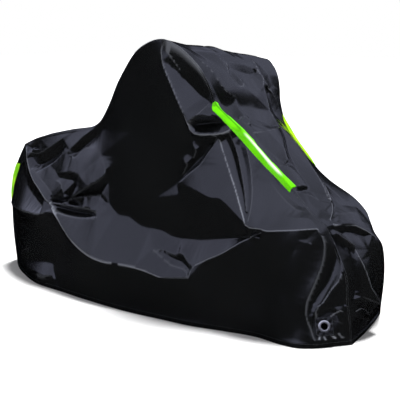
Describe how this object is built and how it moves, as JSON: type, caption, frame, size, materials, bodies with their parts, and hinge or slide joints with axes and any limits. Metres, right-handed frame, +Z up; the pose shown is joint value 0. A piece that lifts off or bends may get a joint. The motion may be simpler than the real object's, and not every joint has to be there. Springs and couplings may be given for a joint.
{
  "type": "motorcycle cover",
  "caption": "Thin coated cloth cover draped as over a machine on its side stand, with sewn panels, reflective strips on its seams and lock holes near the front hem.",
  "frame": {"origin": "on the floor under the middle of the whole cover, at the level of its hem", "axes": "+X towards the front of the cover, +Y towards its left side, +Z up"},
  "size_m": [2.2014, 1.0236, 1.1872],
  "materials": {
    "coated_cloth": "black woven polyester with a glossy waterproof coating",
    "reflective_tape": "fluorescent green reflective tape with a satin sheen",
    "plated_metal": "nickel plated, polished"
  },
  "bodies": {
    "root": {"centre_panel": "coated_cloth", "right_side_panel": "coated_cloth", "left_side_panel": "coated_cloth", "right_lock_patch": "coated_cloth", "left_lock_patch": "coated_cloth", "right_lock_ring": "plated_metal", "left_lock_ring": "plated_metal", "front_right_strip": "reflective_tape", "front_left_strip": "reflective_tape", "rear_right_strip": "reflective_tape", "rear_left_strip": "reflective_tape"}
  },
  "joints": []
}
